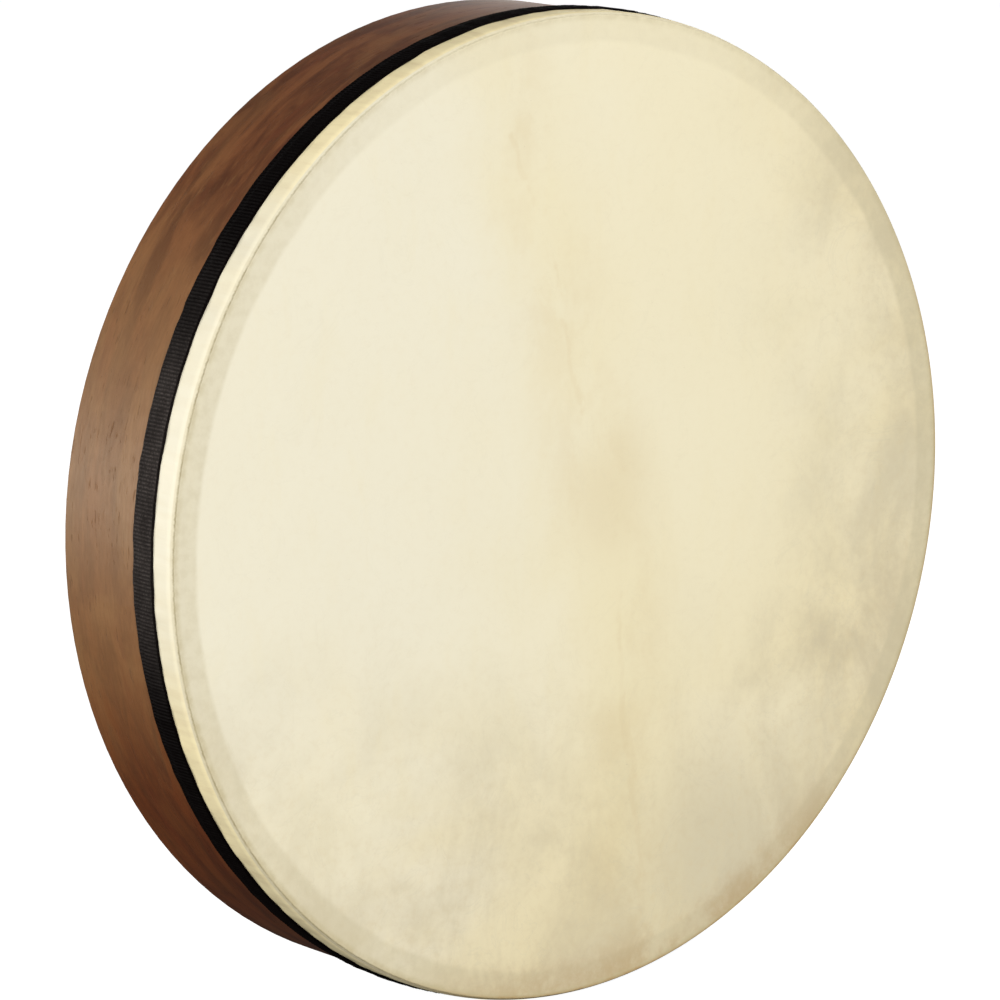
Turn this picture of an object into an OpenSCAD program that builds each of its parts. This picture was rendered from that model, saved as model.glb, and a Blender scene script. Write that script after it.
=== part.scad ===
// Fixed-head frame drum: a bent ply shell with a bearing hoop inside its front edge,
// a goatskin head glued and stapled to it, and a woven ribbon over the staples.
// Upright in its frame: the head faces -Y, the open back +Y, and +Z is up.
// The origin is on the drum's axis, half way through its depth.

/* [Drum] */
// Outside diameter of the wooden shell, 14 inches
shell_d = 355.6; // [300:0.1:410]
// Overall depth, from the head's face to the rear rim, 2 1/2 inches
drum_depth = 63.5; // [50:0.1:80]

/* [Shell] */
// Thickness of one ply of the shell
ply_t = 1.2; // [1:0.1:2]
// Rounding of the shell's edges, which stays inside the face plies
edge_r = 0.8; // [0.3:0.1:0.9]
// Gap left where the two ends of a ply meet
butt_gap = 0.2; // [0.1:0.05:0.4]

/* [Bearing hoop] */
// Thickness of the hoop inside the shell's front edge
hoop_t = 4.5; // [3:0.1:8]
// Depth of that hoop along the drum's axis
hoop_w = 20; // [12:0.5:28]
// Length of the glued scarf where the hoop's ends overlap
scarf_len = 38; // [30:1:45]

/* [Head] */
// Thickness of the goatskin
skin_t = 0.7; // [0.4:0.05:1.2]
// How far the skin's cuff reaches down the shell, from the head's face
cuff_len = 17.5; // [15.5:0.5:18.5]
// Number of staples through the cuff
staple_count = 60; // [24:1:72]

/* [Ribbon] */
// Width of the ribbon
ribbon_w = 12; // [11:0.5:16]
// Thickness of the ribbon
ribbon_t = 0.85; // [0.6:0.05:1.2]
// Bare skin between the head's face and the ribbon
ribbon_drop = 9.95; // [9:0.05:11]
// Length of the ribbon's end, lapped over its start
lap_len = 20; // [10:1:40]

/* [Hidden] */

ring_fn = 180;
arc_steps = 6;
past = 1; // how far a cut runs past what it cuts

shell_r = shell_d / 2;
skin_r = shell_r + skin_t;
ply_count = 5;
shell_t = ply_count * ply_t;
hoop_r = shell_r - shell_t;

// Heights along the drum's own axis, up towards the head
face_z = drum_depth / 2;
rim_z = face_z - skin_t;
rear_z = -drum_depth / 2;
cuff_z = face_z - cuff_len;
ribbon_top_z = face_z - ribbon_drop;
ribbon_low_z = ribbon_top_z - ribbon_w;

// Where each ply's ends meet, in degrees round the axis from +X
butt_angles = [-38, 62, 152, -142, 22];
scarf_angle = -120;
lap_angle = -62;

hoop_edge_r = 1.2;
step_run = 1;

// A staple: the crown lies just under the cuff's surface, along the rim, and the
// legs go through the outer plies and end half way through the core ply
crown_w = 10;
crown_sink = 0.1;
crown_inset = 3.2; // from the cuff's cut edge
wire_t = 0.5;
wire_w = 1;
stapled_plies = 3;
staple_z = cuff_z + crown_inset;
crown_r = skin_r - crown_sink;
leg_reach = crown_r - (shell_r - (stapled_plies - 0.5) * ply_t);

// Points of a quarter round about [r, z], from angle a to angle b
function arc(r, z, radius, a, b) = [
    for (i = [0 : arc_steps])
        let (t = a + (b - a) * i / arc_steps)
        [r + radius * cos(t), z + radius * sin(t)]
];

// Turns the drum's own axis, up towards the head, to the frame's -Y
module upright() {
    rotate([90, 0, 0]) children();
}

module ring(profile) {
    rotate_extrude($fn = ring_fn) polygon(profile);
}

// The narrow gap where a ply's ends meet
module butt_joint(angle) {
    rotate([0, 0, angle])
        translate([hoop_r - past, -butt_gap / 2, rear_z - past])
            cube([shell_t + 2 * past, butt_gap, drum_depth + 2 * past]);
}

// Outline of ply number i, counted inwards from 0. The face plies carry the rounded edges.
function ply_profile(i) =
    let (outer = shell_r - i * ply_t)
    let (inner = outer - ply_t)
    let (first = i == 0)
    let (last = i == ply_count - 1)
    concat(
        last ? arc(inner + edge_r, rear_z + edge_r, edge_r, 180, 270) : [[inner, rear_z]],
        first ? arc(outer - edge_r, rear_z + edge_r, edge_r, -90, 0) : [[outer, rear_z]],
        first ? arc(outer - edge_r, rim_z - edge_r, edge_r, 0, 90) : [[outer, rim_z]],
        [[inner, rim_z]]
    );

module ply(i) {
    upright() difference() {
        ring(ply_profile(i));
        butt_joint(butt_angles[i]);
        if (i < stapled_plies) staple_legs();
    }
}

module outer_face_ply() {
    color([0.45, 0.29, 0.18]) ply(0);
}

module outer_cross_ply() {
    color([0.66, 0.50, 0.34]) ply(1);
}

module core_ply() {
    color([0.72, 0.57, 0.40]) ply(2);
}

module inner_cross_ply() {
    color([0.66, 0.50, 0.34]) ply(3);
}

module inner_face_ply() {
    color([0.47, 0.31, 0.20]) ply(4);
}

// A strip bent round inside the shell's front edge. Its ends are cut to long
// wedges and glued one over the other, so the joint slants across its thickness.
module bearing_hoop() {
    inner = hoop_r - hoop_t;
    low = rim_z - hoop_w;
    profile = concat(
        arc(inner + hoop_edge_r, low + hoop_edge_r, hoop_edge_r, 180, 270),
        [[hoop_r, low], [hoop_r, rim_z]],
        arc(inner + edge_r, rim_z - edge_r, edge_r, 90, 180)
    );
    color([0.58, 0.41, 0.27]) upright() difference() {
        ring(profile);
        rotate([0, 0, scarf_angle]) scarf(inner, low);
    }
}

// Thin slanting cut from the hoop's outside to its inside
module scarf(inner, low) {
    spread = 360 * scarf_len / (2 * PI * hoop_r);
    start = [hoop_r + past, 0];
    end = (inner - past) * [cos(spread), sin(spread)];
    run = end - start;
    translate([start[0], start[1], low - past])
        rotate([0, 0, atan2(run[1], run[0])])
            translate([0, -butt_gap / 2, 0])
                cube([norm(run), butt_gap, hoop_w + 2 * past]);
}

// The skin: flat over the hoop and the shell's rim, and turned down round the
// shell's edge as a cuff
module goatskin_head() {
    bend_r = edge_r + skin_t;
    profile = concat(
        [[0, rim_z]],
        arc(shell_r - edge_r, rim_z - edge_r, edge_r, 90, 0),
        [[shell_r, cuff_z], [skin_r, cuff_z]],
        arc(skin_r - bend_r, face_z - bend_r, bend_r, 0, 90),
        [[0, face_z]]
    );
    color([0.93, 0.89, 0.76]) upright() difference() {
        ring(profile);
        around_staples() {
            staple_crown(crown_sink + past);
            staple_leg_pair();
        }
    }
}

// Repeats its children at each staple's place on the cuff
module around_staples() {
    for (i = [0 : staple_count - 1])
        rotate([0, 0, (i + 0.5) * 360 / staple_count])
            translate([crown_r, 0, staple_z])
                children();
}

// The crown's bar, or with extra the open groove above it
module staple_crown(extra = 0) {
    translate([-wire_t, -crown_w / 2, -wire_w / 2])
        cube([wire_t + extra, crown_w, wire_w]);
}

module staple_leg_pair() {
    for (side = [-1, 1])
        translate([-leg_reach, side * (crown_w - wire_t) / 2 - wire_t / 2, -wire_w / 2])
            cube([leg_reach, wire_t, wire_w]);
}

module staple_legs() {
    around_staples() staple_leg_pair();
}

// Driven flush with the cuff and hidden by the ribbon
module head_staples() {
    color([0.72, 0.72, 0.70]) upright()
        around_staples() {
            staple_crown();
            staple_leg_pair();
        }
}

// Half of the ribbon lies on the cuff and half on the bare shell, so it steps
// down over the skin's cut edge. Its end laps over its start.
module ribbon_trim() {
    profile = [
        [skin_r, cuff_z],
        [skin_r, ribbon_top_z],
        [skin_r + ribbon_t, ribbon_top_z],
        [skin_r + ribbon_t, cuff_z],
        [shell_r + ribbon_t, cuff_z - step_run],
        [shell_r + ribbon_t, ribbon_low_z],
        [shell_r, ribbon_low_z],
        [shell_r, cuff_z - step_run]
    ];
    // Starts inside the layer below, so the two are one strip
    lap = [
        [skin_r + ribbon_t / 2, cuff_z],
        [skin_r + ribbon_t / 2, ribbon_top_z],
        [skin_r + 2 * ribbon_t, ribbon_top_z],
        [skin_r + 2 * ribbon_t, cuff_z],
        [shell_r + 2 * ribbon_t, cuff_z - step_run],
        [shell_r + 2 * ribbon_t, ribbon_low_z],
        [shell_r + ribbon_t / 2, ribbon_low_z],
        [shell_r + ribbon_t / 2, cuff_z - step_run]
    ];
    lap_sweep = 360 * lap_len / (2 * PI * skin_r);
    color([0.12, 0.11, 0.11]) upright() union() {
        ring(profile);
        rotate([0, 0, lap_angle])
            rotate_extrude(angle = lap_sweep, $fn = ring_fn) polygon(lap);
    }
}

outer_face_ply();
outer_cross_ply();
core_ply();
inner_cross_ply();
inner_face_ply();
bearing_hoop();
goatskin_head();
head_staples();
ribbon_trim();
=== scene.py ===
import math
import bmesh
import bpy
import numpy as np
from mathutils import Matrix, Vector


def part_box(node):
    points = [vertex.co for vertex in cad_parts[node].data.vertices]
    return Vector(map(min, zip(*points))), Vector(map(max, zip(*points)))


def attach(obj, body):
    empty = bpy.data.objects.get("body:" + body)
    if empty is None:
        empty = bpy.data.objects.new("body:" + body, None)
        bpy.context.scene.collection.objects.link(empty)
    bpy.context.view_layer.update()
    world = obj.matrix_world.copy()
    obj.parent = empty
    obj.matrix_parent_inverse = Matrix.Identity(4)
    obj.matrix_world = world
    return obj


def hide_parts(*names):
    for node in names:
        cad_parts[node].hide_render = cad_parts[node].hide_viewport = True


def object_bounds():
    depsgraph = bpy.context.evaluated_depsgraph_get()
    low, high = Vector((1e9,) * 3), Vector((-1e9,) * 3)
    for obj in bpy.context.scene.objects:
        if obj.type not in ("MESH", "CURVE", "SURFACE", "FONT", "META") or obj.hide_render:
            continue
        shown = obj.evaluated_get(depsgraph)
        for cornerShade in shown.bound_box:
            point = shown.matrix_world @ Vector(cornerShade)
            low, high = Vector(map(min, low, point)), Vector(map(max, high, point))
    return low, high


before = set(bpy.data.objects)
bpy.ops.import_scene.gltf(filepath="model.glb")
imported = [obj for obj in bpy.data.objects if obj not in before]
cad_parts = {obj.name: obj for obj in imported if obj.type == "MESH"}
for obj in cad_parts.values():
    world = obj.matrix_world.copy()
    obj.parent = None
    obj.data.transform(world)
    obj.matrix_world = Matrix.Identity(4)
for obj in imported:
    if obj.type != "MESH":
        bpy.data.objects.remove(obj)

cadBox = [list(cornerShade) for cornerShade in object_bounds()]

# The drum's own measures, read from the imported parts. Its axis is Y, the head faces -Y.
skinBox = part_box("goatskin_head")
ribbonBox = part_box("ribbon_trim")
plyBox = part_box("outer_face_ply")
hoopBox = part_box("bearing_hoop")

headY = skinBox[0][1]
rearY = plyBox[1][1]
rimY = plyBox[0][1]
skinThickness = rimY - headY
shellRadius = (plyBox[1][2] - plyBox[0][2]) / 2
skinRadius = shellRadius + skinThickness
cuffEndY = skinBox[1][1]
ribbonFrontY = ribbonBox[0][1]
ribbonRearY = ribbonBox[1][1]
hoopThickness = 0.0045          # the hoop's own wall, inside the innermost ply
hoopInner = (hoopBox[1][2] - hoopBox[0][2]) / 2 - hoopThickness
print("drum: shell radius %.4f, depth %.4f, skin %.4f" % (shellRadius, rearY - headY, skinThickness))


# Small helpers for meshes

def makeObject(name, points, faces, material, smooth=True):
    mesh = bpy.data.meshes.new(name)
    mesh.from_pydata(points, [], faces)
    mesh.validate()
    whole = bmesh.new()
    whole.from_mesh(mesh)
    bmesh.ops.recalc_face_normals(whole, faces=whole.faces)
    whole.to_mesh(mesh)
    whole.free()
    if smooth:
        mesh.shade_smooth()
    obj = bpy.data.objects.new(name, mesh)
    bpy.context.scene.collection.objects.link(obj)
    mesh.materials.append(material)
    return obj


def wobble(angles, waves, seed):
    # a smooth closed random line round the drum: sums of whole-number waves
    rng = np.random.default_rng(seed)
    total = np.zeros_like(angles)
    for low, high, size in waves:
        counts = rng.integers(low, high, 14)
        phases = rng.uniform(0, 2 * math.pi, 14)
        for count, phase in zip(counts, phases):
            total += size * np.sin(count * angles + phase) / math.sqrt(14)
    return total


def bridge(faces, outer, inner, nOuter, nInner):
    # joins two rings of points; the inner one may have half as many
    if nOuter == nInner:
        for i in range(nOuter):
            j = (i + 1) % nOuter
            faces.append((outer + i, outer + j, inner + j, inner + i))
        return
    for i in range(nInner):
        a, b, c = 2 * i, 2 * i + 1, (2 * i + 2) % nOuter
        j = (i + 1) % nInner
        faces.append((outer + a, outer + b, inner + i))
        faces.append((outer + b, inner + j, inner + i))
        faces.append((outer + b, outer + c, inner + j))


# Small helpers for materials

def newMaterial(name):
    material = bpy.data.materials.new(name)
    material.use_nodes = True
    tree = material.node_tree
    tree.nodes.clear()
    out = tree.nodes.new("ShaderNodeOutputMaterial")
    shader = tree.nodes.new("ShaderNodeBsdfPrincipled")
    tree.links.new(shader.outputs[0], out.inputs["Surface"])
    return material, tree, shader


def plug(tree, socket, value):
    if isinstance(value, bpy.types.NodeSocket):
        tree.links.new(value, socket)
    elif hasattr(socket.default_value, "__len__") and len(value) == 3 and len(socket.default_value) == 4:
        socket.default_value = (*value, 1)
    else:
        socket.default_value = value


def calc(tree, operation, a, b=None, clamp=False):
    n = tree.nodes.new("ShaderNodeMath")
    n.operation = operation
    n.use_clamp = clamp
    for socket, value in zip(n.inputs, (a, b)):
        if value is not None:
            plug(tree, socket, value)
    return n.outputs[0]


def times(tree, a, b):
    return calc(tree, "MULTIPLY", a, b)


def plus(tree, a, b, clamp=False):
    return calc(tree, "ADD", a, b, clamp)


def minus(tree, a, b):
    return calc(tree, "SUBTRACT", a, b)


def over(tree, a, b):
    return calc(tree, "DIVIDE", a, b)


def span(tree, value, low, high, toLow=0.0, toHigh=1.0):
    # a smooth step: toLow up to low, toHigh from high on, and low may be the larger of the two
    n = tree.nodes.new("ShaderNodeMapRange")
    n.interpolation_type = "SMOOTHSTEP"
    n.clamp = True
    ends = {"Value": value, "From Min": low, "From Max": high, "To Min": toLow, "To Max": toHigh}
    for name, end in ends.items():
        plug(tree, n.inputs[name], end)
    return n.outputs["Result"]


def within(tree, value, near, far):
    # one where the value is within near of nought, and nought beyond far
    return span(tree, calc(tree, "ABSOLUTE", value), near, far, 1.0, 0.0)


def vector(tree, x, y, z):
    n = tree.nodes.new("ShaderNodeCombineXYZ")
    for socket, value in zip(n.inputs, (x, y, z)):
        plug(tree, socket, value)
    return n.outputs[0]


def noise(tree, place, scale, detail=3.0, rough=0.5, twist=0.0):
    n = tree.nodes.new("ShaderNodeTexNoise")
    plug(tree, n.inputs["Vector"], place)
    n.inputs["Scale"].default_value = scale
    n.inputs["Detail"].default_value = detail
    n.inputs["Roughness"].default_value = rough
    n.inputs["Distortion"].default_value = twist
    return n.outputs[0]


def mix(tree, amount, a, b, blend="MIX"):
    n = tree.nodes.new("ShaderNodeMix")
    n.data_type = "RGBA"
    n.blend_type = blend
    n.clamp_factor = True
    plug(tree, n.inputs[0], amount)
    plug(tree, n.inputs[6], a)
    plug(tree, n.inputs[7], b)
    return n.outputs[2]


def bump(tree, height, distance):
    n = tree.nodes.new("ShaderNodeBump")
    n.inputs["Distance"].default_value = distance
    plug(tree, n.inputs["Height"], height)
    return n.outputs[0]


def partCoords(tree):
    return tree.nodes.new("ShaderNodeTexCoord").outputs["Object"]


def separate(tree, coords):
    split = tree.nodes.new("ShaderNodeSeparateXYZ")
    tree.links.new(coords, split.inputs[0])
    return split.outputs[0], split.outputs[1], split.outputs[2]


def towards(tree, x, z, angle):
    # how far a point lies towards a side of the drum, given in degrees round the axis from +X to +Z
    turn = math.radians(angle)
    return plus(tree, times(tree, x, math.cos(turn)), times(tree, z, math.sin(turn)))


def roundPlace(tree, x, z, jointAngle):
    # radius from the axis, and the distance round the drum from the side opposite the joint
    turn = math.radians(jointAngle + 180)
    across = towards(tree, x, z, jointAngle + 180)
    up = minus(tree, times(tree, z, math.cos(turn)), times(tree, x, math.sin(turn)))
    angle = calc(tree, "ARCTAN2", up, across)
    radius = calc(tree, "SQRT", plus(tree, times(tree, x, x), times(tree, z, z)))
    return radius, times(tree, angle, shellRadius)


def dress(node, material):
    for spot in node.material_slots:
        spot.material = material


def srgb(r, g, b):
    # a colour given as a picture editor shows it, 0 to 255
    return tuple((v / 255 / 12.92) if v <= 10 else ((v / 255 + 0.055) / 1.055) ** 2.4 for v in (r, g, b))


# Wood of the shell and the hoop

def woodMaterial(name, look):
    material, tree, shader = newMaterial(name)
    x, y, z = separate(tree, partCoords(tree))
    radius, along = roundPlace(tree, x, z, look["jointAngle"])

    # grain runs round the drum and wanders a little across it
    wander = noise(tree, vector(tree, along, y, 0.0), look["wanderScale"], 2.0)
    acrossGrain = plus(tree, y, times(tree, minus(tree, wander, 0.5), look["wander"]))

    def grained(stretch, scale, detail, rough, twist=0.0):
        run = over(tree, along, stretch)
        return noise(tree, vector(tree, run, acrossGrain, radius), scale, detail, rough, twist)

    cloud = grained(look["cloudStretch"], look["cloudScale"], 5.0, 0.6, 0.7)
    broad = grained(look["stretch"], look["bandScale"], 4.0, 0.6, 0.4)
    fine = grained(look["stretch"], look["fibreScale"], 4.0, 0.7)
    fleck = grained(look["fleckStretch"], look["fleckScale"], 2.0, 0.5)
    pores = grained(look["poreStretch"], look["poreScale"], 2.0, 0.5)
    pores = span(tree, pores, look["poreFrom"], look["poreFull"])
    pores = times(tree, pores, span(tree, broad, 0.35, 0.6, 0.25, 1.0))

    # paler on the side the light falls on, a painted highlight, and deeper on the side turned from it,
    # painted shade, with clouds everywhere
    sheenSide = over(tree, towards(tree, x, z, look["sheenAngle"]), radius)
    sheenSide = span(tree, sheenSide, look["sheenFrom"], 1.0)
    shadeSide = over(tree, towards(tree, x, z, look["shadeAngle"]), radius)
    shadeSide = plus(tree, shadeSide, times(tree, cloud, look["shadeRagged"]))
    shadeSide = span(tree, shadeSide, look["shadeFrom"], look["shadeFull"])
    olive = vector(tree, over(tree, along, look["oliveStretch"]), y, 3.1)
    olive = noise(tree, olive, look["oliveScale"], 4.0, 0.6, 0.8)
    oliveAndSheen = plus(tree, span(tree, olive, 0.42, 0.66, 0.0, look["olive"]),
                       times(tree, sheenSide, look["sheenPaint"]))
    colour = mix(tree, span(tree, cloud, 0.36, 0.64), look["dark"], look["light"])
    colour = mix(tree, span(tree, broad, 0.45, 0.75, 0.0, look["reddish"]), colour, look["red"])
    colour = mix(tree, oliveAndSheen, colour, look["pale"])
    colour = mix(tree, span(tree, fine, 0.35, 0.75, 0.0, look["fibre"]), colour, look["dark"])
    colour = mix(tree, span(tree, fleck, 0.62, 0.74, 0.0, look["fleck"]), colour, look["pale"])
    colour = mix(tree, times(tree, pores, look["pore"]), colour, look["poreColour"])
    colour = mix(tree, times(tree, shadeSide, look["shadePaint"]), colour, look["shadeTint"], "MULTIPLY")
    plug(tree, shader.inputs["Base Color"], colour)

    rough = times(tree, minus(tree, fine, 0.5), look["fibreRoughness"])
    rough = plus(tree, look["roughness"], rough)
    rough = plus(tree, rough, times(tree, pores, look["poreRoughness"]))
    plug(tree, shader.inputs["Roughness"], rough)
    shader.inputs["Specular IOR Level"].default_value = look["gloss"]
    shader.inputs["Specular Tint"].default_value = (*look["glossTint"], 1)
    height = minus(tree, times(tree, fine, 0.35), pores)
    plug(tree, shader.inputs["Normal"], bump(tree, height, look["relief"]))
    return material


stainedLook = {
    "jointAngle": -38,          # where this veneer's ends meet, degrees round the axis
    "dark": srgb(84, 46, 26),
    "light": srgb(122, 75, 44),
    "red": srgb(114, 58, 36),
    "pale": srgb(142, 103, 64),
    "poreColour": srgb(62, 37, 22),
    "reddish": 0.45,
    "olive": 0.25,
    "sheenAngle": 173,           # the side lightened as a painted highlight
    "sheenFrom": 0.76,           # how near that side it begins, as a cosine
    "sheenPaint": 0.55,
    "shadeAngle": 232,           # the side darkened as painted shade
    "shadeFrom": 0.88,
    "shadeFull": 1.12,
    "shadeRagged": 0.25,         # how far the clouds break up its edge
    "shadeTint": (0.7, 0.46, 0.28),
    "shadePaint": 0.9,
    "fibre": 0.22,
    "fleck": 0.25,
    "pore": 0.3,
    "wander": 0.006,            # how far the grain strays, metres
    "wanderScale": 11.0,
    "cloudStretch": 4.0,
    "cloudScale": 95.0,
    "oliveStretch": 2.2,
    "oliveScale": 45.0,
    "stretch": 6.0,             # how much longer than wide the bands and fibres are
    "bandScale": 170.0,
    "fibreScale": 900.0,
    "fleckStretch": 5.0,
    "fleckScale": 700.0,
    "poreStretch": 6.0,
    "poreScale": 1100.0,
    "poreFrom": 0.63,
    "poreFull": 0.71,
    "roughness": 0.47,
    "fibreRoughness": 0.16,
    "poreRoughness": 0.18,
    "gloss": 0.32,
    "glossTint": (1.0, 0.95, 0.72),
    "relief": 0.00008,
}
evenLook = dict(stainedLook, sheenPaint=0.0, shadePaint=0.0)
insideLook = dict(evenLook, jointAngle=22, dark=srgb(118, 80, 50), light=srgb(146, 106, 70),
                  roughness=0.6, gloss=0.35, reddish=0.3)
plyLook = dict(evenLook, dark=srgb(150, 112, 74), light=srgb(186, 148, 104), red=srgb(160, 112, 70),
               pale=srgb(196, 164, 122), poreColour=srgb(110, 76, 46), roughness=0.65, gloss=0.3)
hoopLook = dict(evenLook, jointAngle=-120, dark=srgb(146, 104, 68), light=srgb(182, 140, 98),
                red=srgb(150, 98, 60), pale=srgb(192, 156, 112), poreColour=srgb(96, 62, 38),
                roughness=0.58, gloss=0.35, bandScale=110.0)

woodParts = {
    "outer_face_ply": stainedLook,
    "outer_cross_ply": dict(plyLook, jointAngle=62, stretch=1.2),
    "core_ply": dict(plyLook, jointAngle=152),
    "inner_cross_ply": dict(plyLook, jointAngle=-142, stretch=1.2),
    "inner_face_ply": insideLook,
    "bearing_hoop": hoopLook,
}
for nodeName, look in woodParts.items():
    dress(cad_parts[nodeName], woodMaterial(nodeName + "_wood", look))
print("wood: %d parts" % len(woodParts))


staples = {
    "bright": (0.55, 0.55, 0.53),
    "dull": (0.4, 0.39, 0.36),
    "streakScale": 2500.0,
    "smoothest": 0.32,
    "roughest": 0.47,
}


def stapleMaterial(look):
    material, tree, shader = newMaterial("zinc_wire")
    drawn = noise(tree, partCoords(tree), look["streakScale"], 2.0)
    plug(tree, shader.inputs["Base Color"], mix(tree, drawn, look["bright"], look["dull"]))
    shader.inputs["Metallic"].default_value = 1.0
    rough = span(tree, drawn, 0.2, 0.8, look["smoothest"], look["roughest"])
    plug(tree, shader.inputs["Roughness"], rough)
    return material


dress(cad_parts["head_staples"], stapleMaterial(staples))


skin = {
    "segments": 960,            # points round the rim
    "ringStep": 0.0025,         # distance between the rings of points on the face
    "middleStep": 0.0015,       # and near its middle
    "hills": 26,
    "unevenness": 0.00007,      # how far the stretched skin is from flat, metres
    "cornerIn": 0.0009,         # how far inside its side the skin turns down
    "cornerRound": 0.0004,
    "cornerTurn": 74,           # degrees that the rounding turns through
    "cornerRun": 0.003,         # depth over which it then reaches its full width
    "creaseIn": 0.0011,         # the crease pressed in beside that corner
    "creaseWidth": 0.00045,
    "creaseDepth": 0.00014,
    "innerBend": 0.0008,        # rounding of the wood it bends over
    "cornerSaving": 0.0008,     # how much shorter the way round that corner is
    "pucker": 0.00014,          # waves in the cuff between the staples
    "bandInner": 0.94,          # inner edge of the rim seen through the skin, in drum radii
    "bandSoft": 0.007,
    "spineAt": 0.071,           # where the backbone's line crosses the middle, its lean and its bend
    "spineLean": -0.217,
    "spineBend": -0.103,
    # soft patches of the hide, the grey ones low and on the right partly painted shade: place and size
    # in drum radii, strength, colour
    "patches": [
        (0.40, -0.78, 0.36, 0.62, "grey"),
        (0.06, -0.92, 0.22, 0.35, "grey"),
        (0.09, 0.03, 0.18, 0.3, "tan"),
        (0.92, -0.03, 0.16, 0.4, "grey"),
        (-0.65, -0.55, 0.28, 0.5, "warm"),
        (0.60, -0.54, 0.22, 0.5, "warm"),
        (-0.04, 0.29, 0.15, 0.35, "warm"),
        (-0.12, 0.66, 0.16, 0.4, "warm"),
    ],
    "cream": srgb(238, 232, 210),
    "warm": srgb(240, 231, 200),
    "yellow": srgb(234, 220, 174),
    "tan": srgb(218, 198, 154),
    "grey": srgb(202, 193, 167),
    "edgeBrownColour": srgb(176, 142, 90),
    "band": srgb(203, 192, 160),
    "crease": srgb(130, 118, 84),
    "creaseShade": srgb(194, 181, 142),
    "cuff": srgb(248, 234, 188),
    "sheenAngle": 164,           # the cuff's side kept cooler and paler as a painted sheen, degrees round the axis
    "speck": srgb(150, 128, 92),
    # how fine each mark is: the larger the number, the smaller the mark
    "bigScale": 7.0,
    "midScale": 24.0,
    "streakScale": 90.0,
    "smallScale": 260.0,
    "yellowScale": 11.0,
    "blotchScale": 32.0,
    "veinScale": 34.0,
    "glueScale": 210.0,
    "pulledScale": 240.0,
    "creaseScale": 120.0,
    "creaseFineScale": 420.0,
    "speckScale": 1400.0,
    "grainScale": 2200.0,
    # how strong each mark is, 0 to 1
    "lowShade": 0.7,
    "rightShade": 0.75,
    "lowRightShade": 0.55,
    "yellowAmount": 0.6,
    "greyAmount": 0.95,
    "tanAmount": 0.3,
    "spineYellow": 0.32,
    "blotchAmount": 0.27,
    "lineAmount": 0.22,
    "grainAmount": 0.18,
    "veinAmount": 0.14,
    "edgeBrownAmount": 0.5,
    "cornerShadeAmount": 0.8,
    "speckAmount": 0.5,
    "smoothest": 0.5,
    "roughest": 0.62,
    "gloss": 0.35,
    "relief": 0.00006,
}


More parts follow.
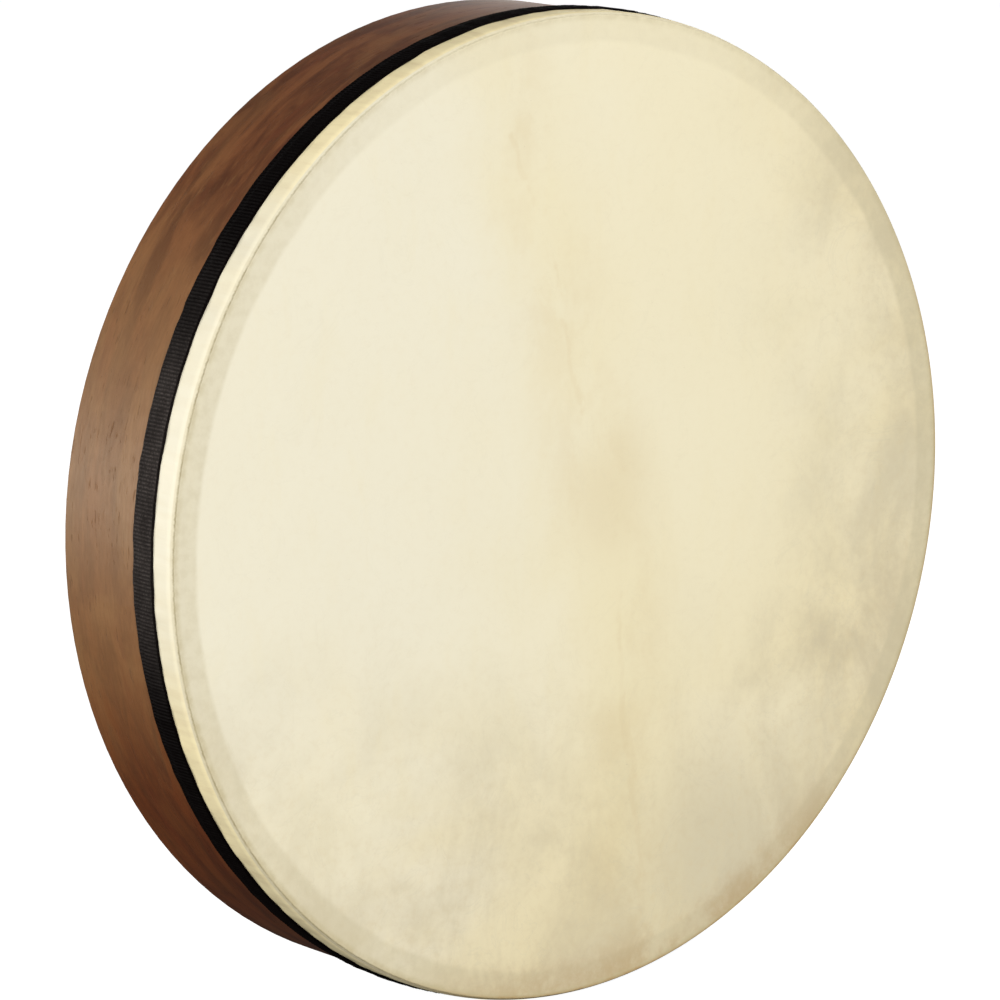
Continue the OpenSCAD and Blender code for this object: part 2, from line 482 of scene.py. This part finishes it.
def skinMesh(look, material):
    innerBend = look["innerBend"]
    flatRadius = skinRadius - look["cornerIn"] - look["cornerRound"]
    innerFlat = shellRadius - innerBend
    rng = np.random.default_rng(7)
    hills = []
    for _ in range(look["hills"]):
        hills.append((rng.uniform(8, 60), rng.uniform(0, 2 * math.pi), rng.uniform(0, 2 * math.pi)))

    def lift(px, pz):
        # low hills over the whole head, their size falling with their pitch
        total = np.zeros_like(px)
        for pitch, turn, phase in hills:
            run = px * math.cos(turn) + pz * math.sin(turn)
            total += np.sin(pitch * 2.6 * run + phase) * 12 / (12 + pitch)
        return look["unevenness"] * total / 3

    def hillAt(angles, r):
        return lift(r * np.cos(angles), r * np.sin(angles))

    points, rings, faces = [], [], []

    def ring(radius, y, count, out=0.0, side=0.0):
        # out moves points out of the head, side moves them away from the axis
        angles = np.arange(count) * 2 * math.pi / count
        r = radius + (side(angles) if callable(side) else side)
        yy = y - (out(angles, r) if callable(out) else out)
        rings.append((len(points), count))
        points.extend(zip(r * np.cos(angles), yy + 0 * angles, r * np.sin(angles)))

    full = look["segments"]
    creaseRadius = skinRadius - look["creaseIn"]

    def groove(radius):
        def depth(angles, r):
            path = creaseRadius + wobble(angles, [(20, 90, 0.00012), (90, 260, 0.00006)], 3)
            width = look["creaseWidth"] * (1 + 0.3 * np.tanh(wobble(angles, [(10, 60, 1.0)], 4)))
            near = np.clip(1 - np.abs(radius - path) / width, 0, 1)
            strength = 0.65 + 0.35 * wobble(angles, [(6, 40, 1.0)], 5)
            hill = hillAt(angles, r) * np.clip((flatRadius - radius) / 0.004, 0, 1)
            return hill - look["creaseDepth"] * strength * near * near
        return depth

    def sideWave(depthDown):
        grow = min(max((depthDown - look["cornerRun"]) / 0.005, 0), 1)
        return lambda angles: look["pucker"] * grow * wobble(angles, [(24, 70, 1.0), (70, 150, 0.4)], 6)

    # the face, from its middle out: more points round as the rings get wider
    radius = look["ringStep"]
    counts = [(0.012, full // 16), (0.03, full // 8), (0.07, full // 4), (0.14, full // 2)]
    steps = []

    def countAt(r):
        return next((count for limit, count in counts if r <= limit), full)

    while radius < flatRadius - 0.006:
        steps.append(radius)
        radius += look["ringStep"] if radius > 0.01 else look["middleStep"]
    steps += list(np.linspace(flatRadius - 0.005, flatRadius - 0.0012, 5))
    steps += list(np.linspace(flatRadius - 0.0009, flatRadius, 7))
    for r in steps:
        ring(r, headY, countAt(r), out=groove(r))
    # round the corner, down the side and round the cut edge
    turn = look["cornerRound"]
    for k in range(1, 6):
        t = k / 5 * math.radians(look["cornerTurn"])
        ring(flatRadius + turn * math.sin(t), headY + turn * (1 - math.cos(t)), full)
    sideEnd = cuffEndY - headY
    for depthDown in (0.0007, 0.0012, 0.0018, 0.0024, look["cornerRun"]):
        left = 1 - depthDown / look["cornerRun"]
        ring(skinRadius - look["cornerIn"] * left ** 1.6, headY + depthDown, full)
    for depthDown in np.linspace(look["cornerRun"] + 0.0008, sideEnd - 0.0001, 17):
        ring(skinRadius, headY + depthDown, full, side=sideWave(depthDown))
    ring(skinRadius - skinThickness * 0.15, cuffEndY, full)
    ring(shellRadius + skinThickness * 0.1, cuffEndY, full)
    # back up inside the cuff and under the face
    for depthDown in (sideEnd - 0.0004, sideEnd * 0.6, skinThickness + innerBend):
        ring(shellRadius, headY + depthDown, full)
    for k in range(1, 4):
        t = math.pi / 2 * (1 - k / 3)
        ring(innerFlat + innerBend * math.sin(t), rimY + innerBend * (1 - math.cos(t)), full)
    under = [innerFlat - 0.003, hoopInner + 0.0008, hoopInner - 0.002]
    under += [r for r in reversed(steps) if r < hoopInner - 0.004][::2]
    for r in under:
        ring(r, rimY, countAt(r), out=0.0 if r > hoopInner - 0.001 else hillAt)

    corners = [tuple(map(float, p)) for p in points]
    frontMiddle, backMiddle = len(corners), len(corners) + 1
    middleLift = float(lift(np.zeros(1), np.zeros(1))[0])
    corners += [(0.0, headY - middleLift, 0.0), (0.0, rimY - middleLift, 0.0)]
    first, firstCount = rings[0]
    for i in range(firstCount):
        faces.append((frontMiddle, first + i, first + (i + 1) % firstCount))
    for (a, na), (b, nb) in zip(rings, rings[1:]):
        if nb > na:
            flipped = []
            bridge(flipped, b, a, nb, na)
            faces += [tuple(reversed(f)) for f in flipped]
        else:
            bridge(faces, a, b, na, nb)
    last, lastCount = rings[-1]
    for i in range(lastCount):
        faces.append((backMiddle, last + (i + 1) % lastCount, last + i))
    return makeObject("goatskin", corners, faces, material)


def skinMaterial(look):
    material, tree, shader = newMaterial("goatskin")
    coords = partCoords(tree)
    x, y, z = separate(tree, coords)
    # across, up and out from the middle, in drum radii
    u = over(tree, x, skinRadius)
    v = over(tree, z, skinRadius)
    radius, along = roundPlace(tree, x, z, 0)
    r = over(tree, radius, skinRadius)

    # clouds at four sizes, the two middle ones drawn out a little along the back
    big = noise(tree, vector(tree, x, z, 0.0), look["bigScale"], 3.0, 0.5, 0.4)
    mid = noise(tree, vector(tree, x, times(tree, z, 0.7), 0.31), look["midScale"], 5.0, 0.6, 0.4)
    streak = vector(tree, x, times(tree, z, 0.25), 0.77)
    streak = noise(tree, streak, look["streakScale"], 4.0, 0.6, 0.3)
    small = noise(tree, vector(tree, x, z, 1.9), look["smallScale"], 5.0, 0.7)

    def off(value, size):
        # a cloud as a shift either side of nought
        return times(tree, minus(tree, value, 0.5), size)

    # cool cream on the left, warmer from the middle on
    side = plus(tree, plus(tree, u, off(big, 0.9)), off(mid, 0.4))
    colour = mix(tree, span(tree, side, -0.55, 0.3), look["cream"], look["warm"])

    # painted shade: the head darker towards its lower edge and its right, away from the light, in grey,
    # yellow and tan patches
    low = span(tree, plus(tree, v, off(big, 0.8)), -0.05, -0.85)
    right = span(tree, plus(tree, u, off(big, 0.7)), 0.3, 0.95)
    lowRight = minus(tree, times(tree, u, 0.5), times(tree, v, 0.87))
    lowRight = span(tree, plus(tree, lowRight, off(mid, 0.4)), 0.5, 1.0)
    shade = plus(tree, times(tree, low, look["lowShade"]), times(tree, right, look["rightShade"]))
    shade = plus(tree, shade, times(tree, lowRight, look["lowRightShade"]), clamp=True)

    def shaded(amount, least):
        # an amount that grows with the shade, from a little everywhere
        return plus(tree, times(tree, shade, amount), least)

    yellowPatch = noise(tree, vector(tree, x, z, 3.7), look["yellowScale"], 4.0, 0.55, 0.5)
    yellowPatch = times(tree, span(tree, yellowPatch, 0.42, 0.62), shaded(look["yellowAmount"], 0.03))
    colour = mix(tree, yellowPatch, colour, look["yellow"])
    greyPatch = span(tree, plus(tree, mid, off(small, 0.2)), 0.35, 0.7)
    greyPatch = times(tree, greyPatch, shaded(look["greyAmount"], 0.03))
    colour = mix(tree, greyPatch, colour, look["grey"])
    colour = mix(tree, times(tree, shade, look["tanAmount"]), colour, look["tan"])

    # the line of the backbone, a little curved: a soft yellow band, blotches and a broken thin line
    spine = plus(tree, look["spineAt"], times(tree, v, look["spineLean"]))
    spine = plus(tree, spine, times(tree, times(tree, v, v), look["spineBend"]))
    away = minus(tree, plus(tree, u, off(mid, 0.12)), spine)
    spineSoft = within(tree, away, 0.02, 0.24)
    spineSoft = times(tree, spineSoft, span(tree, big, 0.3, 0.6, 0.08, look["spineYellow"]))
    colour = mix(tree, spineSoft, colour, look["yellow"])
    blotch = vector(tree, x, times(tree, z, 0.6), 8.2)
    blotch = noise(tree, blotch, look["blotchScale"], 4.0, 0.6, 0.3)
    blotch = span(tree, plus(tree, blotch, off(small, 0.1)), 0.44, 0.66)
    blotch = times(tree, blotch, within(tree, away, 0.02, 0.2))
    colour = mix(tree, times(tree, blotch, look["blotchAmount"]), colour, look["tan"])
    line = within(tree, plus(tree, away, off(streak, 0.05)), 0.002, 0.012)
    line = times(tree, line, span(tree, plus(tree, blotch, big), 0.55, 0.8, 0.0, look["lineAmount"]))
    colour = mix(tree, line, colour, look["tan"])

    # the grey patches low and on the right add to the painted shade there
    for atU, atV, size, strength, tone in look["patches"]:
        sideways = minus(tree, u, atU)
        upwards = minus(tree, v, atV)
        distance = plus(tree, times(tree, sideways, sideways), times(tree, upwards, upwards))
        distance = plus(tree, calc(tree, "SQRT", distance), off(mid, size * 0.9))
        colour = mix(tree, span(tree, distance, 0.0, size, strength, 0.0), colour, look[tone])

    # fine grain and veins everywhere, more of them where the shade is painted
    grain = times(tree, span(tree, small, 0.45, 0.75), shaded(look["grainAmount"], 0.06))
    colour = mix(tree, grain, colour, look["tan"])
    colour = mix(tree, span(tree, streak, 0.5, 0.75, 0.0, 0.1), colour, look["yellow"])
    veins = noise(tree, vector(tree, x, z, 1.7), look["veinScale"], 5.0, 0.6, 1.2)
    veins = within(tree, off(veins, 1.0), 0.0, 0.012)
    veins = times(tree, veins, shaded(look["veinAmount"], 0.05))
    colour = mix(tree, veins, colour, look["grey"])

    # the rim behind the skin shows as a darker band with a soft inner edge: painted shade where the rim
    # keeps light from coming through the skin, deeper at the sides, low down and on the right
    bandEdge = plus(tree, r, off(mid, 0.014))
    bandInner, soft = look["bandInner"], look["bandSoft"]
    band = span(tree, bandEdge, bandInner - soft, bandInner + soft)
    glue = noise(tree, vector(tree, x, z, 2.3), look["glueScale"], 4.0, 0.65)
    bandTone = times(tree, band, span(tree, glue, 0.35, 0.7, 0.38, 0.6))
    bandSides = span(tree, calc(tree, "ABSOLUTE", plus(tree, u, off(mid, 0.2))), 0.3, 1.0, 0.35, 1.0)
    bandLow = span(tree, v, 0.0, -0.8, 0.35, 1.0)
    bandTone = times(tree, bandTone, calc(tree, "MAXIMUM", bandSides, bandLow))
    bandTone = times(tree, bandTone, span(tree, right, 0.0, 1.0, 0.95, 1.25))
    onFace = span(tree, y, headY + 0.0008, headY + 0.0016, 1.0, 0.0)
    colour = mix(tree, times(tree, bandTone, onFace), colour, look["band"])

    # browner along the lower edge, in patches, and the face's corner browner towards the lower right as
    # painted shade where it turns from the light
    lowerSide = minus(tree, times(tree, u, 0.25), times(tree, v, 0.97))
    edgeBrowning = span(tree, plus(tree, r, off(mid, 0.1)), 0.88, 1.0)
    edgeBrowning = times(tree, edgeBrowning, span(tree, lowerSide, 0.74, 0.95))
    patchy = span(tree, plus(tree, mid, off(small, 0.3)), 0.38, 0.6, 0.25, 1.0)
    edgeBrowning = times(tree, edgeBrowning, patchy)
    cornerSide = times(tree, minus(tree, u, v), 0.7)
    cornerShade = span(tree, r, 0.986, 0.994, 0.0, look["cornerShadeAmount"])
    cornerShade = times(tree, cornerShade, span(tree, cornerSide, 0.1, 0.75))
    edgeBrowning = plus(tree, times(tree, edgeBrowning, look["edgeBrownAmount"]), times(tree, cornerShade, onFace))
    colour = mix(tree, edgeBrowning, colour, look["edgeBrownColour"])

    # the side of the cuff: streaks where the wet skin was pulled down, yellower away from the lit side,
    # which keeps a cooler, paler tone as a painted sheen
    pulled = vector(tree, along, times(tree, y, 0.22), 0.0)
    streaks = noise(tree, pulled, look["pulledScale"], 3.0, 0.6, 0.3)
    onSide = minus(tree, 1.0, onFace)
    sheenSide = towards(tree, u, v, look["sheenAngle"])
    yellower = span(tree, plus(tree, sheenSide, off(mid, 0.2)), 0.985, 0.78)
    colour = mix(tree, times(tree, onSide, yellower), colour, look["cuff"])
    soiled = plus(tree, times(tree, streaks, 0.6), times(tree, glue, 0.4))
    soiled = span(tree, soiled, 0.42, 0.66)
    soiled = times(tree, soiled, span(tree, yellower, 0.0, 1.0, 0.12, 0.42))
    colour = mix(tree, times(tree, onSide, soiled), colour, look["tan"])

    # the crease: a broken dark line, partly dirt and partly painted shade, and a soft painted shade
    # along its inner side, deeper low down
    creaseAt = (skinRadius - look["creaseIn"]) / skinRadius
    creaseWander = noise(tree, vector(tree, along, 0.0, 4.0), look["creaseScale"], 4.0, 0.7)
    creaseFine = noise(tree, vector(tree, along, 0.0, 6.0), look["creaseFineScale"], 3.0, 0.7)
    creaseLine = plus(tree, minus(tree, r, creaseAt), off(creaseFine, 0.004))
    creaseDark = within(tree, creaseLine, 0.0, 0.0024)
    creaseDark = times(tree, creaseDark, span(tree, creaseWander, 0.3, 0.65, 0.35, 0.95))
    creaseDark = times(tree, creaseDark, span(tree, u, -0.3, 0.6, 1.0, 0.25))
    creaseDark = times(tree, creaseDark, span(tree, v, 0.5, 0.95, 1.0, 0.5))
    front = span(tree, y, rimY + 0.0006, rimY + 0.0012, 1.0, 0.0)
    colour = mix(tree, times(tree, creaseDark, front), colour, look["crease"])
    creaseSoft = times(tree, within(tree, minus(tree, r, creaseAt - 0.004), 0.0, 0.012), onFace)
    creaseSoft = times(tree, creaseSoft, span(tree, glue, 0.3, 0.7, 0.15, 0.45))
    creaseSoft = times(tree, creaseSoft, span(tree, v, 0.6, -0.5, 0.8, 1.7))
    colour = mix(tree, creaseSoft, colour, look["creaseShade"])

    # pores and hair roots
    specks = noise(tree, vector(tree, x, z, 5.5), look["speckScale"], 1.0, 0.5)
    specks = times(tree, span(tree, specks, 0.74, 0.82), span(tree, mid, 0.45, 0.7))
    colour = mix(tree, times(tree, specks, look["speckAmount"]), colour, look["speck"])

    plug(tree, shader.inputs["Base Color"], colour)
    rough = span(tree, small, 0.3, 0.7, look["smoothest"], look["roughest"])
    plug(tree, shader.inputs["Roughness"], rough)
    shader.inputs["Specular IOR Level"].default_value = look["gloss"]
    grainFine = noise(tree, coords, look["grainScale"], 3.0, 0.6)
    height = plus(tree, times(tree, grainFine, 0.3), small)
    plug(tree, shader.inputs["Normal"], bump(tree, height, look["relief"]))
    return material


goatskin = skinMesh(skin, skinMaterial(skin))
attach(goatskin, "root")
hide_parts("goatskin_head")
print("goatskin: %d points" % len(goatskin.data.vertices))


ribbon = {
    "ribPitch": 0.00135,        # woven ribs across the ribbon, metres
    "pointsPerRib": 6,
    "ribHeight": 0.00026,
    "thickness": 0.00085,
    "edgeWander": 0.00016,      # how far its edges stray from straight
    "swell": 0.00006,
    "startAngle": -62,          # where its ends lap, degrees round the axis
    "lap": 0.020,
    "climb": 0.005,             # length over which the end climbs over the start
    "lapGap": 0.00004,
    "underGap": 0.00002,
    "stepRun": 0.16,            # run of its step down over the cuff's edge, in widths
    "rearStand": 0.0003,        # the rear edge stands a little off the wood
    "edgeRound": 0.0004,
    "beadHeight": 0.00007,      # the thread bound in beside each edge
    "warpPitch": 0.00034,
    "shadowLine": 0.0009,         # width of the painted shadow line along the edge on the head's side
    "colour": srgb(8, 5, 5),
    "thread": srgb(106, 98, 94),
    "deep": srgb(3, 1, 1),
    "ribbonSheenAngle": 168,          # the side lightened as a painted sheen
    "carriedWear": 0.5,         # how worn it is on the right, against that side
    "fuzzScale": 2600.0,
    "brokenScale": 1100.0,
    "wornScale": 60.0,
    "smoothest": 0.5,
    "roughest": 0.7,
    "gloss": 0.03,
    "glossTint": (1.0, 0.88, 0.84),
    "relief": 0.00005,
}


def ribbonMesh(look, material):
    startAngle = math.radians(look["startAngle"])
    meanRadius = skinRadius + look["thickness"] / 2
    length = 2 * math.pi * meanRadius + look["lap"]
    ribs = round(length / look["ribPitch"])
    count = ribs * look["pointsPerRib"] + 1
    s = np.linspace(0, length, count)
    angles = startAngle + s / meanRadius
    phase = 2 * math.pi * s / look["ribPitch"]
    rib = np.clip(0.5 + 0.5 * np.cos(phase), 0, 1) ** 0.7
    unevenRib = 1 + 0.25 * wobble(angles, [(60, 300, 1.0)], 11)

    # the end climbs over the start
    lapStart = 2 * math.pi * meanRadius
    climb = np.clip((s - (lapStart - look["climb"])) / look["climb"], 0, 1)
    climb = climb * climb * (3 - 2 * climb) * (look["thickness"] + look["lapGap"])

    frontWander = wobble(angles, [(18, 60, 0.7), (60, 140, 0.5), (200, 420, 0.15)], 12)
    rearWander = wobble(angles, [(18, 60, 0.8), (60, 140, 0.5), (200, 420, 0.15)], 13)
    swell = look["swell"] * wobble(angles, [(40, 110, 1.0)], 14)

    width = ribbonRearY - ribbonFrontY
    across = [0.0, 0.012, 0.035, 0.07, 0.12, 0.3, 0.52, 0.6, 0.66, 0.74, 0.86, 0.93, 0.965, 0.988, 1.0]
    drop = skinRadius - shellRadius - look["rearStand"]
    stepAt = (cuffEndY - ribbonFrontY) / width

    def rowPlace(a):
        # the row a share a of the way across, and the radius it lies on
        wander = look["edgeWander"] * (frontWander * (1 - a) + rearWander * a)
        fall = min(max((a - stepAt) / look["stepRun"], 0), 1)
        return ribbonFrontY + wander + width * a, skinRadius - drop * fall * fall * (3 - 2 * fall)

    rows = []
    for a in across:
        y, base = rowPlace(a)
        edge = min(a, 1 - a) * width
        crown = math.sqrt(max(0.0, 1 - (1 - min(edge / look["edgeRound"], 1)) ** 2))
        ribbed = min(max((edge - look["edgeRound"]) / look["edgeRound"], 0), 1)
        bead = look["beadHeight"] * math.exp(-((edge - 0.0005) / 0.0003) ** 2)
        r = base + look["thickness"] * (0.5 + 0.5 * crown) - look["ribHeight"] + bead
        r = r + look["ribHeight"] * rib * unevenRib * (0.25 + 0.75 * ribbed) * crown + swell + climb
        rows.append((y, r))
    # the underside, lying on the cuff and the wood
    for a in (0.994, stepAt + 0.1, stepAt, 0.006):
        y, base = rowPlace(a)
        rows.append((y, base + look["underGap"] + climb))

    nRows = len(rows)
    points = np.zeros((count, nRows, 3))
    for k, (y, r) in enumerate(rows):
        points[:, k, 0] = r * np.cos(angles)
        points[:, k, 1] = y
        points[:, k, 2] = r * np.sin(angles)
    faces = []
    for i in range(count - 1):
        for k in range(nRows):
            m = (k + 1) % nRows
            faces.append((i * nRows + k, i * nRows + m, (i + 1) * nRows + m, (i + 1) * nRows + k))
    faces.append(tuple(reversed(range(nRows))))
    faces.append(tuple((count - 1) * nRows + k for k in range(nRows)))
    piece = makeObject("ribbon", [tuple(p) for p in points.reshape(-1, 3)], faces, material)
    return piece, length, width


def ribbonMaterial(look):
    material, tree, shader = newMaterial("black_ribbon")
    coords = partCoords(tree)
    x, y, z = separate(tree, coords)
    radius, along = roundPlace(tree, x, z, look["startAngle"])
    # warp threads run along the ribbon, packed side by side over the ribs
    warp = calc(tree, "SINE", times(tree, y, 2 * math.pi / look["warpPitch"]))
    warpSoft = plus(tree, times(tree, warp, 0.5), 0.5)
    fuzz = noise(tree, coords, look["fuzzScale"], 3.0, 0.65)
    threads = times(tree, warpSoft, span(tree, fuzz, 0.3, 0.7))
    # painted light and shade on the ribs: the crests a little lighter, the gaps between them darker
    meanRadius = skinRadius + look["thickness"] / 2
    phase = times(tree, plus(tree, over(tree, along, shellRadius), math.pi),
                 2 * math.pi * meanRadius / look["ribPitch"])
    litCrest = plus(tree, times(tree, calc(tree, "COSINE", phase), 0.5), 0.5)
    broken = vector(tree, along, times(tree, y, 1.6), 0.0)
    broken = noise(tree, broken, look["brokenScale"], 2.0, 0.6)
    litCrest = times(tree, litCrest, span(tree, broken, 0.4, 0.6, 0.0, 1.0))
    worn = vector(tree, along, times(tree, y, 3.0), 0.0)
    worn = noise(tree, worn, look["wornScale"], 4.0, 0.6)
    # lighter on one side of the drum as a painted sheen, though quickly black again above it
    facing = towards(tree, x, z, look["ribbonSheenAngle"])
    sheenAndWear = span(tree, over(tree, facing, radius), 0.87, 0.995, 0.02, 1.0)
    sheenAndWear = times(tree, sheenAndWear, span(tree, over(tree, z, radius), 0.32, 0.5, 1.0, 0.3))
    # and less so on the right, where the drum is carried
    carried = span(tree, over(tree, x, radius), 0.25, 0.7, 0.0, look["carriedWear"])
    sheenAndWear = calc(tree, "MAXIMUM", sheenAndWear, carried)
    sheenAndWear = times(tree, sheenAndWear, span(tree, worn, 0.3, 0.7, 0.6, 1.0))
    threads = plus(tree, times(tree, threads, 0.6), 0.4)
    colour = mix(tree, litCrest, look["deep"], look["colour"])
    crestLift = plus(tree, times(tree, litCrest, 0.7), 0.3)
    colour = mix(tree, times(tree, times(tree, crestLift, threads), sheenAndWear), colour, look["thread"])
    # a painted shadow line along the edge next to the cuff
    shadowLineEnd = ribbonFrontY + look["shadowLine"]
    shadowLine = span(tree, y, shadowLineEnd - look["shadowLine"] * 0.4, shadowLineEnd, 1.0, 0.0)
    colour = mix(tree, times(tree, shadowLine, 0.85), colour, look["deep"])
    plug(tree, shader.inputs["Base Color"], colour)
    rough = span(tree, fuzz, 0.3, 0.7, look["smoothest"], look["roughest"])
    plug(tree, shader.inputs["Roughness"], rough)
    shader.inputs["Specular IOR Level"].default_value = look["gloss"]
    shader.inputs["Specular Tint"].default_value = (*look["glossTint"], 1)
    height = plus(tree, times(tree, warpSoft, 0.6), fuzz)
    plug(tree, shader.inputs["Normal"], bump(tree, height, look["relief"]))
    return material


ribbonPiece, ribbonLength, ribbonWidth = ribbonMesh(ribbon, ribbonMaterial(ribbon))
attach(ribbonPiece, "root")
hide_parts("ribbon_trim")
print("ribbon: %.3f m long, %d points" % (ribbonLength, len(ribbonPiece.data.vertices)))


studio = {
    "floorTone": (0.3, 0.3, 0.3),
    "floorGrain": (0.42, 0.42, 0.42),
    "floorScale": 60.0,
    "floorRoughness": 0.9,
    "floorGloss": 0.1,
    "floorGlow": 0.93,
    "floorSize": 9.0,
    "floorSides": 64,
    "floorGap": 0.0002,         # the floor lies just under the drum
    "skyLow": 1.0,              # brightness of the room at the horizon
    "skyHigh": 0.1,             # and overhead
    "skyFrom": 0.12,            # heights between which it falls off, as sines
    "skyTo": 0.45,
    "groundDark": 0.05,         # and straight under the horizon
    "lightColour": (1.0, 0.985, 0.95),
    # name, place, where it points, width and height in metres, power in watts
    "lights": [
        ("key_front", (-3.1, -4.05, 1.25), (0, 0, 0), (2.5, 2.5), 266.0),
        ("side_left", (-1.25, 1.1, 0.0), (-0.1, 0, 0), (0.8, 0.34), 9.3),
        ("top_right", (0.9, -0.15, 1.2), (0, 0, 0.1), (0.7, 0.7), 7.5),
        ("back_right", (0.95, 1.15, 0.3), (0, 0, 0.17), (0.5, 0.3), 0.9),
    ],
    "azimuth": -39.4,           # the camera's place round the drum, degrees
    "elevation": 11.1,
    "distance": 10.913,         # and from the head, in skin radii
    "aimRight": -0.152,
    "aimUp": 0.023,
    "lens": 196.4,
    "sensor": 36,
}


def makeFloor(look):
    material, tree, shader = newMaterial("pale_floor")
    grain = noise(tree, partCoords(tree), look["floorScale"], 3.0)
    plug(tree, shader.inputs["Base Color"], mix(tree, grain, look["floorTone"], look["floorGrain"]))
    shader.inputs["Roughness"].default_value = look["floorRoughness"]
    shader.inputs["Specular IOR Level"].default_value = look["floorGloss"]
    shader.inputs["Emission Color"].default_value = (1, 1, 1, 1)
    shader.inputs["Emission Strength"].default_value = look["floorGlow"]
    size, sides = look["floorSize"], look["floorSides"]
    level = cadBox[0][2] - look["floorGap"]
    turns = [2 * math.pi * i / sides for i in range(sides)]
    points = [(size * math.cos(turn), size * math.sin(turn), level) for turn in turns]
    floor = makeObject("floor", points, [tuple(range(sides))], material, smooth=False)
    # the floor shows white but throws no light back up at the drum
    floor.visible_diffuse = False
    floor.visible_glossy = False


def makeWorld(look):
    world = bpy.data.worlds.new("room")
    bpy.context.scene.world = world
    world.use_nodes = True
    tree = world.node_tree
    background = tree.nodes["Background"]
    up = separate(tree, tree.nodes.new("ShaderNodeTexCoord").outputs["Generated"])[2]
    sky = span(tree, up, look["skyFrom"], look["skyTo"], look["skyLow"], look["skyHigh"])
    ground = span(tree, up, -0.15, -0.01, look["groundDark"], look["skyLow"])
    level = mix(tree, span(tree, up, -0.02, 0.0), ground, sky)
    tree.links.new(level, background.inputs["Color"])
    background.inputs["Strength"].default_value = 1.0


def softbox(name, place, aim, size, power, colour):
    light = bpy.data.lights.new(name, "AREA")
    light.shape = "RECTANGLE"
    light.size, light.size_y = size
    light.energy = power
    light.color = colour
    obj = bpy.data.objects.new(name, light)
    bpy.context.scene.collection.objects.link(obj)
    obj.location = place
    obj.rotation_euler = (Vector(aim) - Vector(place)).to_track_quat("-Z", "Y").to_euler()
    obj.visible_camera = False


makeFloor(studio)
makeWorld(studio)
for lightName, place, aim, size, power in studio["lights"]:
    softbox(lightName, place, aim, size, power, studio["lightColour"])


def makeCamera(look):
    azimuth, elevation = math.radians(look["azimuth"]), math.radians(look["elevation"])
    right = Vector((math.cos(azimuth), math.sin(azimuth), 0))
    ahead = Vector((-math.sin(azimuth) * math.cos(elevation), math.cos(azimuth) * math.cos(elevation),
                    -math.sin(elevation)))
    up = right.cross(ahead)
    headMiddle = Vector((0, headY, 0))
    data = bpy.data.cameras.new("camera")
    data.sensor_width = look["sensor"]
    data.lens = look["lens"]
    data.clip_start, data.clip_end = 0.05, 100
    camera = bpy.data.objects.new("camera", data)
    bpy.context.scene.collection.objects.link(camera)
    place = look["aimRight"] * right + look["aimUp"] * up - look["distance"] * ahead
    place = headMiddle + skinRadius * place
    turn = Matrix((right, up, -ahead)).transposed().to_4x4()
    camera.matrix_world = Matrix.Translation(place) @ turn
    bpy.context.scene.camera = camera


makeCamera(studio)
bpy.context.scene.view_settings.view_transform = "Standard"
bpy.context.scene.view_settings.look = "None"

print("drum finished")
